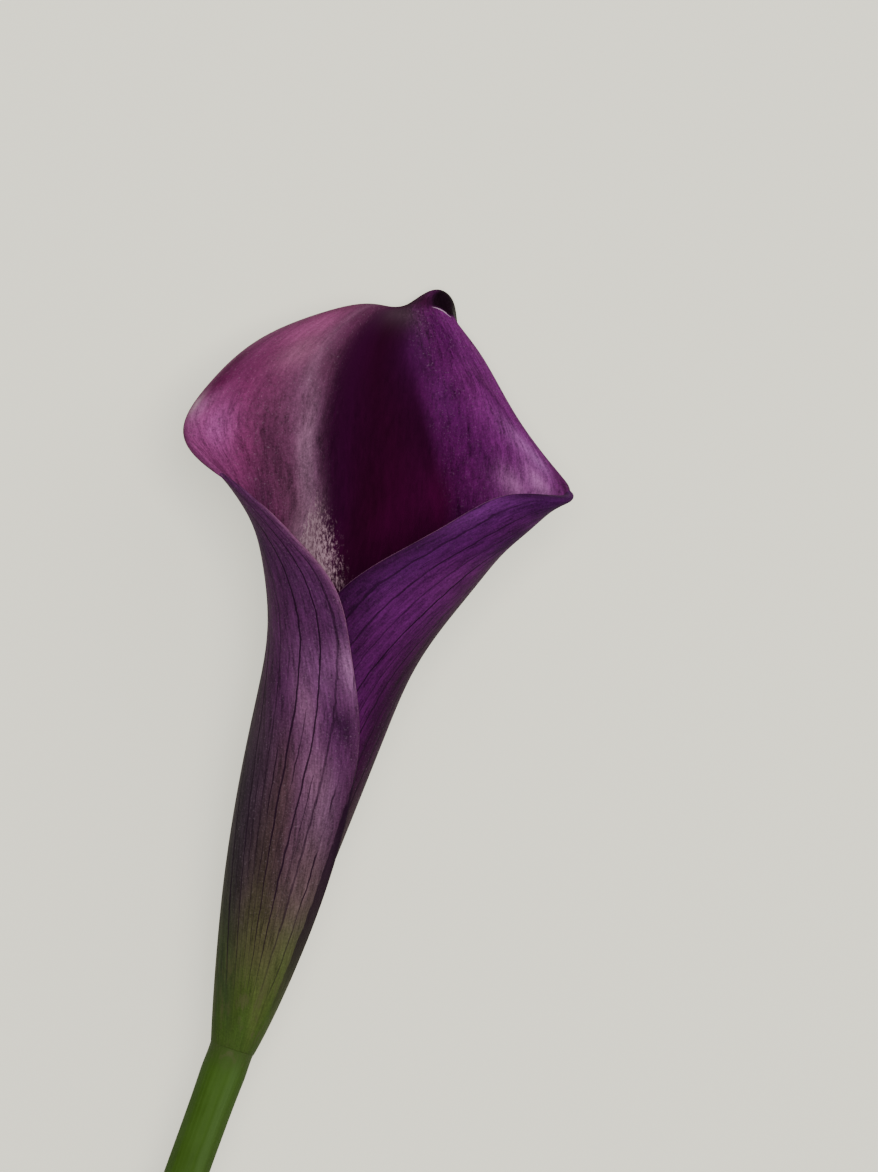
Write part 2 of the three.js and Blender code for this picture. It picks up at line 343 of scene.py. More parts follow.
class Nodes:
    """The nodes of one material round a Principled shader."""

    def __init__(self, name: str) -> None:
        """Makes a material with an empty tree, its shader and its output.

        Args:
            name: the material's name.
        """
        self.material = bpy.data.materials.new(name)
        self.material.use_nodes = True
        self.tree = self.material.node_tree
        self.tree.nodes.clear()
        self.shader = self.add("ShaderNodeBsdfPrincipled", {})
        self.add("ShaderNodeOutputMaterial", {"Surface": self.shader.outputs["BSDF"]})

    def add(self, kind: str, inputs: dict[object, object], **settings: object) -> bpy.types.Node:
        """Adds a node.

        Args:
            kind: the node's type.
            inputs: what its sockets get, by name or number.
            settings: what is set on the node itself, before its sockets.

        Returns:
            The node.
        """
        made = self.tree.nodes.new(kind)
        for key, value in settings.items():
            setattr(made, key, value)
        self.fill(made, inputs)
        return made

    def fill(self, node: bpy.types.Node, inputs: dict[object, object]) -> None:
        """Gives sockets of a node their values: numbers, plain colours, and sockets or Terms to link.

        Args:
            node: the node.
            inputs: a value for each named or numbered socket.
        """
        for key, value in inputs.items():
            source = value.socket if isinstance(value, Term) else value
            if isinstance(source, Socket):
                self.tree.links.new(source, node.inputs[key])
            else:
                is_colour = isinstance(source, tuple)
                node.inputs[key].default_value = (*source, 1) if is_colour else source

    def set(self, **inputs: object) -> None:
        """Gives sockets of the shader their values, with underscores for the spaces in their names."""
        self.fill(self.shader, {key.replace("_", " "): value for key, value in inputs.items()})

    def sum(self, operation: str, *values: object) -> Term:
        """Adds a Math node for one operation on numbers and Terms."""
        made = self.add("ShaderNodeMath", dict(enumerate(values)), operation=operation)
        return Term(self, made.outputs[0])

    def number(self, name: str) -> Term:
        """The numbers stored on the piece under a name."""
        return Term(self, self.add("ShaderNodeAttribute", {}, attribute_name=name).outputs["Fac"])

    def colour(self, name: str) -> Socket:
        """The colours stored on the piece under a name."""
        return self.add("ShaderNodeAttribute", {}, attribute_name=name).outputs["Color"]

    def place(self) -> Socket:
        """The piece's own coordinates, in metres."""
        return self.add("ShaderNodeTexCoord", {}).outputs["Object"]

    def vector(self, x: object, y: object, z: object = 0) -> Socket:
        """A vector from three numbers or Terms."""
        return self.add("ShaderNodeCombineXYZ", {"X": x, "Y": y, "Z": z}).outputs["Vector"]

    def noise(self, where: object, scale: float, detail: float = 2.0, roughness: float = 0.5) -> Term:
        """Soft noise from 0 to 1 at a vector or its parts, with finer noise of a share of its strength.

        Args:
            where: a vector, or a tuple of its parts.
            scale: grains to a unit of the vector.
            detail: how many finer layers lie over it.
            roughness: the strength of each finer layer, as a share of the one before.

        Returns:
            The noise.
        """
        place = self.vector(*where) if isinstance(where, tuple) else where
        inputs = {"Vector": place, "Scale": scale, "Detail": detail, "Roughness": roughness}
        return Term(self, self.add("ShaderNodeTexNoise", inputs).outputs["Fac"])

    def scatter(self, where: Term) -> Term:
        """A different number from 0 to 1 for each value of a Term."""
        made = self.add("ShaderNodeTexWhiteNoise", {"W": where}, noise_dimensions="1D")
        return Term(self, made.outputs["Value"])

    def blend(self, share: object, first: object, second: object, kind: str = "MIX") -> Socket:
        """The first colour where share is 0, the second, or what the kind makes of both, where it is 1."""
        inputs = {0: share, 6: first, 7: second}
        return self.add("ShaderNodeMix", inputs, data_type="RGBA", blend_type=kind).outputs[2]

    def bump(self, height: Term, distance: float, strength: float, under: object = None) -> Socket:
        """Relief from a height in units of distance, in metres, over other relief.

        Args:
            height: the height.
            distance: the height's unit, in metres.
            strength: how strongly it shows, from 0 to 1.
            under: the other relief, if any.

        Returns:
            The normals.
        """
        inputs = {"Height": height, "Distance": distance, "Strength": strength}
        if under is not None:
            inputs["Normal"] = under
        return self.add("ShaderNodeBump", inputs).outputs["Normal"]


def from_thousandths(*levels: float) -> Colour:
    """A colour from its red, green and blue in thousandths."""
    return tuple(level / 1000 for level in levels)


@dataclass(frozen=True)
class Patch:
    """A soft patch of colour in thousandths, placed by guide column across and row along. Patches paint the
    flower's own tones, and also painted highlights and painted shade.
    """

    colour: Colour
    across: float
    along: float
    spread_across: float
    spread_along: float
    strength: float = 0.85

    def painted(self, colours: Array, across: Array, along: Array, on_face: Array) -> Array:
        """The colours of places with this patch over them, where they are on its face.

        Args:
            colours: a row for each place.
            across: each place's guide column, from 0 at the left margin.
            along: each place's guide row, from 0 at the foot.
            on_face: 1 on the face that the patch lies on, and 0 on the other.

        Returns:
            The rows with the patch over them.
        """
        aside, ahead = (across - self.across) / self.spread_across, (along - self.along) / self.spread_along
        hill = np.exp(-(aside**2 + ahead**2))
        return mixed(colours, from_thousandths(*self.colour), self.strength * on_face * hill)


def blended(bands: tuple[Band, ...], across: Array) -> Array:
    """The colours of places across bands given by column and thousandths, each running into the next.

    Args:
        bands: the bands.
        across: each place's guide column, from 0 at the left margin.

    Returns:
        A row for each place.
    """
    middles = [middle for middle, _ in bands]
    colours = np.array([from_thousandths(*colour) for _, colour in bands])
    return np.stack([np.interp(across, middles, levels) for levels in colours.T], axis=1)


def mixed(colours: Array, other: Array | Colour, share: Array) -> Array:
    """Rows of colours, each taken its share of the way to another colour."""
    return colours * (1 - share[:, None]) + np.array(other) * share[:, None]


def from_line(line: Line, across: Array, along: Array) -> Array:
    """How far each place lies from a line through places given by column across and row along.

    Args:
        line: the places that it runs through.
        across: each place's guide column, from 0 at the left margin.
        along: each place's guide row, from 0 at the foot.

    Returns:
        The distance of each place, in columns and rows.
    """
    nearest = np.full(len(across), np.inf)
    for (u, v), (next_u, next_v) in zip(line, line[1:]):
        run_u, run_v = next_u - u, next_v - v
        share = ((across - u) * run_u + (along - v) * run_v) / (run_u**2 + run_v**2)
        share = np.clip(share, 0, 1)
        nearest = np.minimum(nearest, np.hypot(across - u - share * run_u, along - v - share * run_v))
    return nearest


@dataclass(frozen=True)
class SpatheFinish:
    """The velvety skin of the spathe: colour by bands and patches, which hold its own tones and also painted
    sheen, highlights and shade, veins outside, fine streaks inside.

    Places on the sheet are given by guide column, across from the left margin, and by guide row, along from
    the foot. A band is a column and its colour, and a patch is what Patch takes, both with their colours in
    thousandths. A span says where a soft window starts to open, is open, starts to close and is closed.
    """

    # Across the inner face: the pale band at columns 3.88 to 4.05 is a painted sheen, and the dark throat
    # from 4.35 to 6.3 is its own deep colour darkened with painted shade.
    inner_bands: tuple[Band, ...] = (
        (0, (90, 18, 70)), (1.8, (120, 22, 85)), (2.8, (88, 13, 56)), (3.35, (85, 18, 57)),
        (3.68, (80, 24, 60)), (3.88, (125, 60, 106)), (4.05, (115, 54, 98)), (4.2, (72, 26, 60)),
        (4.35, (36, 8, 28)), (4.6, (22, 1, 17)), (5, (22, 0.4, 17)), (5.5, (15, 0.2, 9)),
        (6.3, (14, 0.3, 10)), (6.6, (42, 1.5, 40)), (7.3, (62, 4, 60)), (8.2, (85, 9, 86)),
        (9.4, (90, 10, 90)), (12, (60, 8, 60)),
    )
    # Across the outer face: the dark band at column 3.3, where the tube turns away on its left, and the dark
    # bands at the right margin are painted shade.
    outer_bands: tuple[Band, ...] = (
        (0, (60, 16, 56)), (0.5, (50, 11, 50)), (2.4, (44, 8, 46)), (3.3, (20, 5, 20)), (6, (20, 3, 20)),
        (9, (22, 1, 20)), (9.8, (50, 5, 53)), (10.3, (68, 8, 76)), (10.7, (50, 5, 57)),
        (11.4, (43, 4, 56)), (11.7, (26, 2, 32)), (12, (18, 1, 20)),
    )
    sheen_drift: float = 0.1
    throat_drift: float = 0.28
    throat_drift_from: float = 9.9
    throat_drift_reach: tuple[float, float] = (-1.2, 2.6)
    leaning_columns: Span = (5.2, 6, 7.4, 9.2)
    brown_span: tuple[float, float] = (12, 52)
    green_span: tuple[float, float] = (2, 28)
    stalk_span: tuple[float, float] = (0, 9)
    foot_sway: float = 2.5
    foot_sways: float = 5.0
    green: Colour = (0.034, 0.055, 0.01)
    stalk_green: Colour = (0.031, 0.055, 0.011)
    mottle: Colour = (0.052, 0.05, 0.024)
    mottle_cover: float = 0.6
    mottle_rows: Span = (-0.4, 0.3, 0.8, 2.6)
    brown: Colour = (0.045, 0.035, 0.024)
    vein: Colour = (0.008, 0.001, 0.009)
    vein_places: Row = (
        0.34, 0.72, 1.23, 1.84, 2.46, 3.1, 3.75, 4.4, 5.05, 5.7, 6.35, 7, 7.6, 8.2, 8.7, 9.1, 9.45, 9.75,
        10.1, 10.5, 10.95, 11.45,
    )
    vein_drift: float = 0.34
    vein_drift_from: float = 5.0
    twist_columns: tuple[float, float] = (1.6, 3.2)
    twist_rows: tuple[float, float] = (4.5, 6)
    vein_half_width: float = 0.045
    vein_rows: Span = (0.3, 1.8, 8.2, 9.8)
    vein_cover: float = 0.88
    # the papillae's pale marks are painted glints, over dark strokes
    papilla_glint: Colour = (0.26, 0.165, 0.215)
    papilla_dark: Colour = (0.05, 0.02, 0.036)
    papilla_rows: Span = (4.8, 5.6, 6.1, 8.1)
    papilla_columns: Span = (3.8, 4.25, 4.65, 5.75)
    papilla_drift: float = 0.6
    papilla_drift_from: float = 5.8
    # painted glints: fine pale flecks where light catches the velvety skin
    glint: Colour = (0.34, 0.26, 0.34)
    glint_cover: float = 0.15
    glint_scale: float = 2600.0
    glint_rows: Span = (1, 2.5, 13, 13.6)
    velvet_scale: float = 2700.0
    relief: float = 0.00012
    # The hook of the tip is near black: the tail's own dark colour, deepened with painted shade.
    hook: Colour = (0.005, 0.001, 0.004)
    hook_columns: tuple[float, float] = (6.7, 7.5)
    hook_rows: tuple[float, float] = (14.6, 15.2)
    # painted highlight along the fold over the hook of the tip
    fold_highlight: Colour = (0.36, 0.25, 0.36)
    fold_highlight_cover: float = 0.8
    fold_row: float = 13.5
    fold_column: float = 7.5
    fold_slope: float = 0.27
    fold_middle: float = 8.25
    fold_reach: float = 1.15
    # painted shade: thin dark lines along the rolled edges of the limb, where the sheet turns away
    rim_shade: Colour = (0.03, 0.002, 0.02)
    # painted highlight: a light pink line along the sheet's cut edge at the lip and the lap
    margin: Colour = (0.15, 0.06, 0.12)
    margin_highlight_rows: Span = (4.2, 5, 9, 9.8)
    margin_highlight_strength: float = 0.7
    rim_shade_core: float = 0.032
    rim_shade_width: float = 0.16
    rim_shade_strength: float = 0.8
    rim_shade_lines: tuple[Line, ...] = (
        ((1.15, 10.7), (1.28, 11.2), (1.4, 11.7), (1.55, 12.25), (2.1, 12.65), (3.1, 13), (4.2, 13.25)),
        ((10.6, 11.7), (10.9, 11.1), (11, 10.5)),
    )
    roughness: float = 0.6
    throat_roughness: float = 0.38
    refraction: float = 1.2
    specular: float = 0.15
    inner_patches: tuple[tuple[object, ...], ...] = (
        # the left side of the open face, with painted highlights on the lobe, at its tip and along the upper
        # edge, and the painted sheen band running down to the V
        ((190, 43, 155), 2.25, 8.85, 0.4, 0.65, 0.8), ((130, 26, 100), 1.7, 9.2, 0.3, 0.5, 0.6),
        ((180, 62, 150), 1.75, 9.9, 0.35, 0.35, 0.8), ((50, 2, 28), 2, 10.5, 0.4, 0.42, 0.8),
        ((190, 44, 128), 3, 11.8, 0.65, 0.65), ((170, 58, 120), 3.45, 10.8, 0.4, 0.6),
        ((45, 7, 34), 4.5, 12.9, 0.9, 0.5, 0.8), ((36, 8, 27), 2.9, 7, 0.5, 0.65, 0.95),
        ((42, 10, 30), 3.35, 8.1, 0.33, 1), ((90, 40, 70), 3.85, 6.6, 0.2, 0.6, 0.9),
        ((150, 75, 125), 4.25, 6.3, 0.24, 0.8, 0.9), ((50, 3, 30), 1.8, 11.1, 0.3, 0.6),
        ((58, 10, 40), 4.05, 12, 0.42, 1.5, 0.9), ((56, 14, 40), 4.1, 10.2, 0.25, 0.8, 0.8),
        ((78, 25, 60), 3.8, 9.2, 0.22, 0.7, 0.7), ((50, 15, 36), 3.6, 7, 0.22, 0.5, 0.7),
        ((260, 160, 220), 1.52, 10.25, 0.2, 0.25, 0.75),
        # the throat: its own dark colour, deepened with painted shade
        ((21, 0.3, 14), 6.5, 7.6, 0.55, 1, 0.7), ((11, 0, 5), 5.75, 7, 0.6, 1.4),
        ((27, 2, 29), 6.3, 11.3, 0.45, 1.1, 0.8), ((36, 19, 31), 5.6, 12.6, 0.9, 0.7),
        ((24, 9, 20), 6.2, 14, 0.9, 0.8, 0.95), ((22, 0, 13), 6.2, 6.9, 0.5, 0.9),
        ((34, 0, 20), 6.95, 7.5, 0.35, 0.7),
        # the right side of the open face, with the painted lilac highlight at the corner and a painted
        # shadow line above the lip
        ((40, 5, 40), 10, 9.45, 0.6, 0.18), ((48, 3, 50), 7.3, 9.7, 0.35, 0.6, 0.7),
        ((70, 13, 67), 9.55, 13, 0.4, 0.6, 0.8), ((150, 18, 150), 7.95, 11.2, 0.45, 0.9, 0.8),
        ((220, 66, 230), 9.3, 10.6, 0.75, 0.5, 0.9), ((200, 70, 195), 8.7, 8.95, 0.5, 0.4, 0.9),
        ((240, 85, 240), 9.5, 9.6, 0.45, 0.45, 0.9), ((42, 4, 38), 10.6, 10.4, 0.6, 0.5, 1),
        ((24, 2, 17), 6.75, 13.7, 0.6, 0.6, 0.9), ((42, 2, 44), 7.2, 12.4, 0.5, 0.8, 0.75),
        ((75, 8, 72), 7.7, 11.1, 0.35, 0.5, 0.8), ((100, 17, 95), 8.7, 11.9, 0.7, 0.35, 0.8),
        ((180, 60, 195), 9.7, 10.5, 0.32, 0.32), ((58, 4, 60), 7.9, 9.2, 0.4, 0.5, 0.8),
        ((56, 6, 62), 6.9, 10.2, 0.3, 0.7, 0.6),
    )
    outer_patches: tuple[tuple[object, ...], ...] = (
        # the back of the hook, near black: the tail's own dark colour, deepened with painted shade
        ((6, 1, 5), 9, 15.3, 3.5, 1.3, 1),
        # painted highlights where the tube is lit and along its margin, and painted shade in the hollow
        # beside the margin and down the tube's left side
        ((85, 29, 86), 0.8, 4.7, 0.9, 0.42, 0.9), ((140, 50, 140), 0.1, 4.8, 0.25, 0.3),
        ((120, 49, 108), 1.3, 4.1, 0.3, 0.4, 0.95), ((50, 24, 30), 1.75, 3.2, 0.35, 0.6),
        ((20, 3, 22), 0.42, 4.05, 0.3, 0.26, 0.95), ((90, 42, 85), 0.8, 3, 0.45, 0.5),
        ((70, 38, 52), 0.95, 2.2, 0.4, 0.6), ((26, 18, 13), 2.1, 2.5, 0.4, 0.6),
        ((14, 11, 14), 3.3, 2, 0.45, 0.5), ((36, 19, 34), 2.6, 3.5, 0.7, 0.9, 0.9),
        ((22, 15, 23), 3.1, 2.4, 0.7, 0.7, 0.9), ((20, 4, 18), 0.05, 2.9, 0.25, 0.7, 0.9),
        ((120, 54, 100), 1.1, 3.35, 0.38, 0.35, 0.6), ((19, 12, 21), 2.95, 3.1, 0.5, 0.6, 0.7),
        ((50, 13, 48), 0.4, 4.42, 0.3, 0.25, 0.5), ((120, 45, 100), 0, 6.6, 0.1, 0.9, 0.6),
        ((44, 11, 48), 0.5, 5.9, 0.4, 0.7, 0.7), ((34, 8, 40), 0.15, 5.4, 0.25, 0.22, 0.6),
        ((170, 80, 165), 0.12, 4.85, 0.2, 0.3, 0.55), ((40, 10, 44), 1.1, 6, 0.35, 0.7, 0.7),
        ((27, 2, 35), 1.75, 6.5, 0.3, 0.6), ((30, 16, 19), 1.8, 2.75, 0.3, 0.4, 0.6),
        # the foot: its own greens and browns, made darker down its left side with painted shade
        ((55, 68, 22), 1.1, 1.3, 0.5, 0.5, 0.6), ((40, 34, 18), 2, 1.5, 0.5, 0.5, 0.7),
        ((24, 36, 16), 3.4, 0.9, 0.6, 1), ((26, 42, 7), 2.4, 0.5, 0.5, 0.5, 0.8),
        ((60, 78, 22), 1.75, 0.3, 0.35, 0.7, 0.7), ((20, 36, 13), 3.3, 0.2, 0.5, 0.6, 0.8),
        ((36, 55, 14), 0.2, 0.9, 0.7, 0.9), ((36, 55, 14), 11.4, 0.8, 1.8, 1),
        # the right side of the funnel, with painted shade near the corner, under the lip and where the other
        # margin overlaps, and a painted highlight along the lip
        ((20, 2, 28), 10.8, 9.4, 1, 0.9, 0.9), ((20, 2, 26), 10.25, 7.85, 0.45, 0.6, 0.9),
        ((28, 2, 30), 10.7, 5.1, 0.4, 0.5, 0.8), ((33, 2, 37), 10.1, 4.8, 0.6, 0.9, 0.75),
        ((58, 5, 68), 10.5, 5.85, 0.8, 0.4, 0.6), ((28, 2, 36), 11, 7.5, 1.2, 0.6, 0.7),
        ((18, 1, 18), 8.9, 4.5, 0.6, 0.6, 0.6), ((65, 9, 85), 11.8, 8.5, 0.3, 0.7, 0.9),
        ((20, 1, 20), 11.5, 5.3, 0.45, 0.8, 0.9), ((15, 1, 18), 12, 9.7, 0.28, 0.5),
    )

    def tone_and_painted_light(self, across: Array, along: Array, inner: Array, y: Array) -> Array:
        """The base colour of each vertex, from the bands of both faces, the patches and the green foot: the
        flower's own tones with painted sheen, highlights and shade among them.

        Args:
            across: each place's guide column, from 0 at the left margin.
            along: each place's guide row, from 0 at the foot.
            inner: 1 on the inner face, 0 on the outer one and between them on the margins.
            y: each place's millimetres from the foot, along the stem.

        Returns:
            A row of red, green and blue for each vertex.
        """
        ahead = np.clip(self.throat_drift_from - along, *self.throat_drift_reach)
        leaning = within(across, self.leaning_columns) * self.throat_drift * ahead
        inside = blended(self.inner_bands, across + self.sheen_drift * smooth(along, 8.5, 12) - leaning)
        colours = mixed(blended(self.outer_bands, across), inside, inner)
        swayed = y + self.foot_sway * np.sin(across * self.foot_sways)
        for tint, span in ((self.brown, self.brown_span), (self.green, self.green_span)):
            colours = mixed(colours, tint, 1 - smooth(swayed, *span))
        for patches, on_face in ((self.inner_patches, inner), (self.outer_patches, 1 - inner)):
            for patch in patches:
                colours = Patch(*patch).painted(colours, across, along, on_face)
        colours = mixed(colours, self.stalk_green, 1 - smooth(swayed, *self.stalk_span))
        # painted shade: thin dark lines along the rolled edges of the limb, where the sheet turns away
        for line in self.rim_shade_lines:
            near = 1 - smooth(from_line(line, across, along), self.rim_shade_core, self.rim_shade_width)
            colours = mixed(colours, self.rim_shade, self.rim_shade_strength * near * inner)
        # painted highlight: a light pink line along the sheet's cut edge at the lip and the lap
        margin = smooth(1 - np.abs(2 * inner - 1), 0.1, 0.6) * within(along, self.margin_highlight_rows)
        colours = mixed(colours, self.margin, self.margin_highlight_strength * margin)
        # the hook: near black, the tail's own dark colour deepened with painted shade
        rolled = smooth(self.past_fold(across, along), -0.08, 0.16) * smooth(across, *self.hook_columns)
        return mixed(colours, self.hook, np.maximum(rolled, smooth(along, *self.hook_rows)) * inner)

    def past_fold(self, across: object, along: object) -> object:
        """How far along a place lies past the fold under the hook of the tip."""
        return along - self.fold_row - self.fold_slope * (across - self.fold_column)

    def papillae(self, across: Array, along: Array, inner: Array) -> Array:
        """How far each vertex shows the papillae low on the left of the throat, whose pale marks are painted
        glints.

        Args:
            across: each place's guide column, from 0 at the left margin.
            along: each place's guide row, from 0 at the foot.
            inner: 1 on the inner face, 0 on the outer one and between them on the margins.

        Returns:
            One number for each vertex.
        """
        drifted = across + self.papilla_drift * np.clip(along - self.papilla_drift_from, 0, 2)
        opening, closing = self.papilla_columns[:2], self.papilla_columns[2:]
        crosswise = smooth(across, *opening) * (1 - smooth(drifted, *closing))
        return within(along, self.papilla_rows) * crosswise * inner

    def vein_count(self, across: Array, along: Array) -> Array:
        """The number of veins from the left margin to each vertex, a whole number on each vein.

        Args:
            across: each place's guide column, from 0 at the left margin.
            along: each place's guide row, from 0 at the foot.

        Returns:
            One number for each vertex.
        """
        twisted = (1 - smooth(across, *self.twist_columns)) * (1 - smooth(along, *self.twist_rows))
        shifted = across + self.vein_drift * (along - self.vein_drift_from) * twisted
        places = (-0.5, *self.vein_places, 12.5)
        return np.interp(shifted, places, range(len(places)))

    def veins(self, nodes: Nodes, across: Term, along: Term, outside: Term) -> Term:
        """The dark veins: thin, a little wavy, each with its own strength, and faint ones between them.

        Args:
            nodes: the material's nodes.
            across: each place's guide column, from 0 at the left margin.
            along: each place's guide row, from 0 at the foot.
            outside: 1 on the outer face.

        Returns:
            How far each place is vein.
        """
        waver = nodes.noise((across * 1.3, along * 2.6), 1.5)
        line = nodes.number("vein_count") + 0.5 + (waver - 0.5) * 0.16
        width = self.vein_half_width * (0.55 + 0.9 * nodes.noise((across, along * 1.5), 1.1))
        main = 1 - (abs(line.fraction() - 0.5) / width).smooth(0.6, 1.4)
        between = line + 0.5
        thin = 1 - (abs(between.fraction() - 0.5) / (width * 0.6)).smooth(0.5, 1.5)
        broken = nodes.noise((across * 0.9, along * 0.8), 1.7, 1).smooth(0.48, 0.62)
        strength = 0.55 + 0.45 * nodes.scatter(line.floor())
        fine = 0.6 * thin * (broken + 0.7 * (1 - along.smooth(2.5, 4.5)))
        return (main * strength + fine).smooth(0, 1) * outside * along.within(self.vein_rows)

    def fold_line(self, across: Term, along: Term, inner: Term) -> Term:
        """A painted highlight along the edge where the limb folds over to the dark hook of the tip.

        Args:
            across: each place's guide column, from 0 at the left margin.
            along: each place's guide row, from 0 at the foot.
            inner: 1 on the inner face, 0 on the outer one and between them on the margins.

        Returns:
            How far each place takes the painted highlight.
        """
        aside = (across - self.fold_middle) / self.fold_reach
        taper = 1 - aside * aside
        line = 1 - (abs(self.past_fold(across, along)) / (taper * 0.055 + 0.001)).smooth(0.3, 1)
        return line * taper.smooth(0, 0.3) * inner

    def material(self) -> bpy.types.Material:
        """Builds the material.

        Returns:
            The material.
        """
        nodes = Nodes("spathe_skin")
        across, along = nodes.number("across"), nodes.number("along")
        inner = nodes.number("inner")
        where = nodes.place()
        veins = self.veins(nodes, across, along, 1 - inner)
        brush = nodes.noise((across * 2.4, along * 0.55, inner * 3), 2.3, 3, 0.7)
        fibre = nodes.noise((across * 12, along * 2.6, inner * 5), 1.1, 3, 0.75)
        right_edge = across + (along - self.throat_drift_from) * self.throat_drift
        throat = across.smooth(4.3, 4.9) * (1 - right_edge.smooth(6.2, 6.9)) * inner
        velvet = (nodes.noise(where, self.velvet_scale, 2, 0.8) - 0.5) * (1 - 0.8 * throat)
        lobe = along.smooth(8.5, 10.5) * (1 - across.smooth(4.5, 6.5))
        calm = 1 - inner * (0.45 * lobe + 0.5 * throat) - 0.5 * (1 - along.smooth(0.5, 2))
        shade = 1 + calm * (1.4 * (brush - 0.5) + 1.8 * (fibre - 0.5) + 1.3 * velvet)
        # the stored colour: the flower's own tones with painted sheen, highlights and shade
        dimmed = nodes.blend(1, nodes.colour("tone_and_painted_light"), nodes.vector(shade, shade, shade), "MULTIPLY")
        # the papillae low in the throat: their pale marks are painted glints over dark strokes
        marked = nodes.noise((across + along * 0.25, along * 0.5, 2), 17, 3, 0.8).smooth(0.3, 0.68)
        cover = (marked * 0.75 + nodes.number("papillae") * 1.2 - 0.75).smooth(0, 0.8)
        skin = nodes.blend(cover, dimmed, nodes.blend(marked, self.papilla_dark, self.papilla_glint))
        blotches = nodes.noise((across * 2.2, along * 1.6, 7), 1.3, 4, 0.75)
        blotches = blotches.smooth(0.48, 0.66) * along.within(self.mottle_rows) * (1 - inner)
        skin = nodes.blend(blotches * self.mottle_cover, skin, self.mottle)
        # painted glints: fine pale flecks where light catches the velvety skin
        glints = nodes.noise(where, self.glint_scale, 2, 0.8).smooth(0.56, 0.8) * self.glint_cover
        funnel = (1 - inner) * across.smooth(8.5, 9.5)
        glints = glints * (1 - throat) * (1 - 0.75 * funnel)
        glints = glints * along.within(self.glint_rows)
        skin = nodes.blend(glints, skin, self.glint)
        veined = nodes.blend(veins * self.vein_cover, skin, self.vein)
        # painted highlight along the fold over the hook
        painted_fold_highlight = self.fold_line(across, along, inner)
        relief = nodes.bump(brush * 0.5 + fibre * 0.4 - veins, self.relief, 0.6)
        nodes.set(
            Base_Color=nodes.blend(painted_fold_highlight * self.fold_highlight_cover, veined, self.fold_highlight),
            Roughness=self.roughness + 0.3 * velvet + self.throat_roughness * throat,
            Normal=nodes.bump(velvet, self.relief, 0.8, relief),
            IOR=self.refraction,
            Specular_IOR_Level=self.specular,
        )
        return nodes.material


